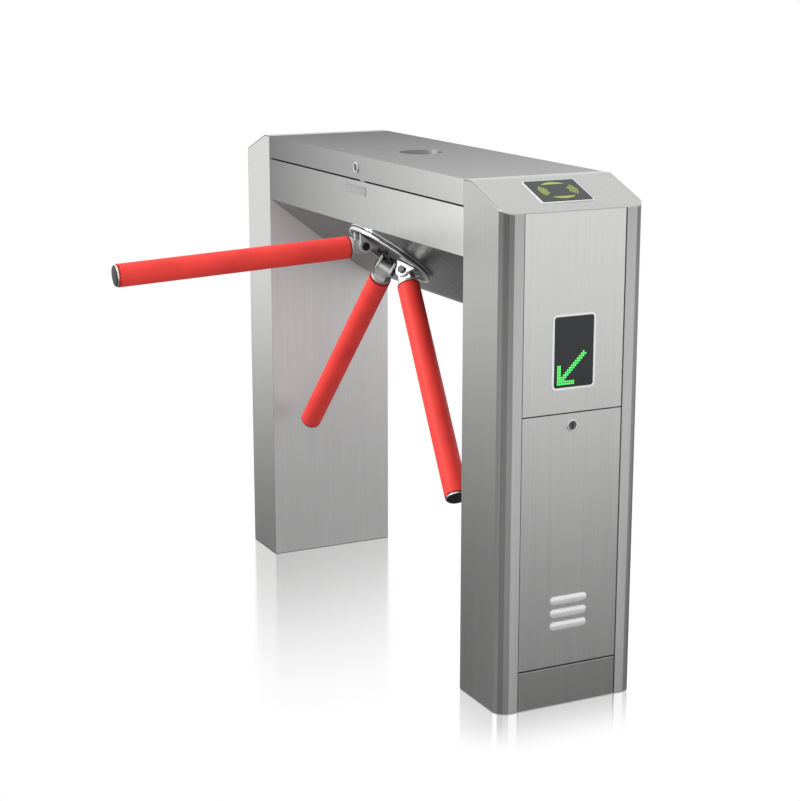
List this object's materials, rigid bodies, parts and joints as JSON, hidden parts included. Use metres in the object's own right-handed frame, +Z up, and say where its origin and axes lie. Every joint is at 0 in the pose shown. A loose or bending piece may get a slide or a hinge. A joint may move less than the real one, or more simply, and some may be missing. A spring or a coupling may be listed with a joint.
{
  "type": "visitor counter turnstile",
  "caption": "Bridge-type tripod turnstile on two pillars, with a hinged lid, tilting doors, a reader, a display and a drop arm.",
  "frame": {"origin": "centre of the footprint, on the floor, which is also the centre of the outer anchor holes", "axes": "+X along the bridge to the pillar with the reader and the display, -Y out to the barring arm, +Z up"},
  "size_m": [1.207, 0.7937, 0.96],
  "materials": {
    "cabinet_steel": "brushed",
    "machined_steel": "satin",
    "zinc_steel": "zinc plated",
    "chrome": "polished",
    "cast_iron": "painted",
    "aluminium": "satin",
    "arm_sleeve": "satin",
    "black_plastic": "satin",
    "reader_pad": "gloss",
    "light_trim": "satin",
    "display_glass": "gloss",
    "circuit_board": "satin",
    "rubber": "matte"
  },
  "bodies": {
    "cabinet": {"near_pillar_shell": "cabinet_steel", "far_pillar_shell": "cabinet_steel", "cap_plates": "cabinet_steel", "foot_plates": "machined_steel", "kick_plates": "cabinet_steel", "near_upper_panel": "cabinet_steel", "far_upper_panel": "cabinet_steel", "bridge_body": "cabinet_steel", "bridge_end_frames": "machined_steel", "cabinet_fasteners": "zinc_steel", "cable_grommets": "rubber", "door_pivot_pins": "zinc_steel", "lid_hinge_fixed_leaves_and_pins": "machined_steel", "lid_strike": "zinc_steel", "badge_plate": "cabinet_steel", "reader_and_display_bezels": "light_trim", "reader_face": "reader_pad", "reader_housing": "black_plastic", "display_glass": "display_glass", "display_board": "circuit_board", "control_board": "circuit_board", "power_supply": "aluminium", "hub_trim_ring": "chrome", "mechanism_plate": "zinc_steel", "bearing_housing": "cast_iron", "bearing_outer_rings": "chrome", "mechanism_brackets": "zinc_steel", "rotary_damper": "black_plastic", "lock_solenoid": "cast_iron", "position_sensor": "black_plastic"},
    "rotor": {"main_shaft": "machined_steel", "bearing_inner_rings": "chrome", "shaft_nut_and_spacer": "zinc_steel", "index_wheel": "machined_steel", "encoder_disc": "aluminium", "hub_disc": "machined_steel", "bracket_ears": "machined_steel", "rotor_fasteners": "chrome", "side_arm_roots": "machined_steel", "side_arm_tubes": "machined_steel", "side_arm_sleeves": "arm_sleeve", "side_arm_end_caps": "black_plastic"},
    "arm_1": {"arm_1_root": "machined_steel", "arm_1_tube": "machined_steel", "arm_1_sleeve": "arm_sleeve", "arm_1_end_cap": "black_plastic"},
    "lid": {"lid_panel": "cabinet_steel", "lid_blanking_cup": "cabinet_steel", "lid_hinge_lid_leaves": "machined_steel", "lid_lock_sleeve": "chrome"},
    "lid_lock": {"lid_lock_plug": "chrome"},
    "near_door": {"near_door_panel": "cabinet_steel", "near_vent_hoods": "cabinet_steel", "near_door_lock_sleeve": "chrome"},
    "near_door_lock": {"near_door_lock_plug": "chrome"},
    "far_door": {"far_door_panel": "cabinet_steel", "far_vent_hoods": "cabinet_steel", "far_door_lock_sleeve": "chrome"},
    "far_door_lock": {"far_door_lock_plug": "chrome"},
    "lock_bolt": {"lock_bolt": "machined_steel"}
  },
  "joints": [
    {"name": "tripod_spin", "type": "hinge", "parent": "cabinet", "child": "rotor", "pos_m": [0, -0.06625, 0.76234], "axis": [0, -0.6088, -0.7934], "continuous": true},
    {"name": "arm_1_drop", "type": "hinge", "parent": "rotor", "child": "arm_1", "pos_m": [-0.00366, -0.12959, 0.77817], "axis": [0.9981, -0.0484, 0.0372], "range_deg": [0, 90]},
    {"name": "lid_hinge", "type": "hinge", "parent": "cabinet", "child": "lid", "pos_m": [0, 0.148, 0.9115], "axis": [-1, 0, 0], "range_deg": [0, 100]},
    {"name": "lid_lock_turn", "type": "hinge", "parent": "lid", "child": "lid_lock", "pos_m": [0, -0.144, 0.936], "axis": [0, -1, 0], "range_deg": [0, 90]},
    {"name": "near_door_tilt", "type": "hinge", "parent": "cabinet", "child": "near_door", "pos_m": [0.594, 0, 0.0822], "axis": [0, 1, 0], "range_deg": [0, 90]},
    {"name": "near_door_lock_turn", "type": "hinge", "parent": "near_door", "child": "near_door_lock", "pos_m": [0.599, 0, 0.529], "axis": [-1, 0, 0], "range_deg": [0, 90]},
    {"name": "far_door_tilt", "type": "hinge", "parent": "cabinet", "child": "far_door", "pos_m": [-0.594, 0, 0.0822], "axis": [0, -1, 0], "range_deg": [0, 90]},
    {"name": "far_door_lock_turn", "type": "hinge", "parent": "far_door", "child": "far_door_lock", "pos_m": [-0.599, 0, 0.529], "axis": [-1, 0, 0], "range_deg": [0, 90]},
    {"name": "lock_bolt_travel", "type": "slide", "parent": "cabinet", "child": "lock_bolt", "axis": [-1, 0, 0], "range_m": [0, 0.01]}
  ]
}
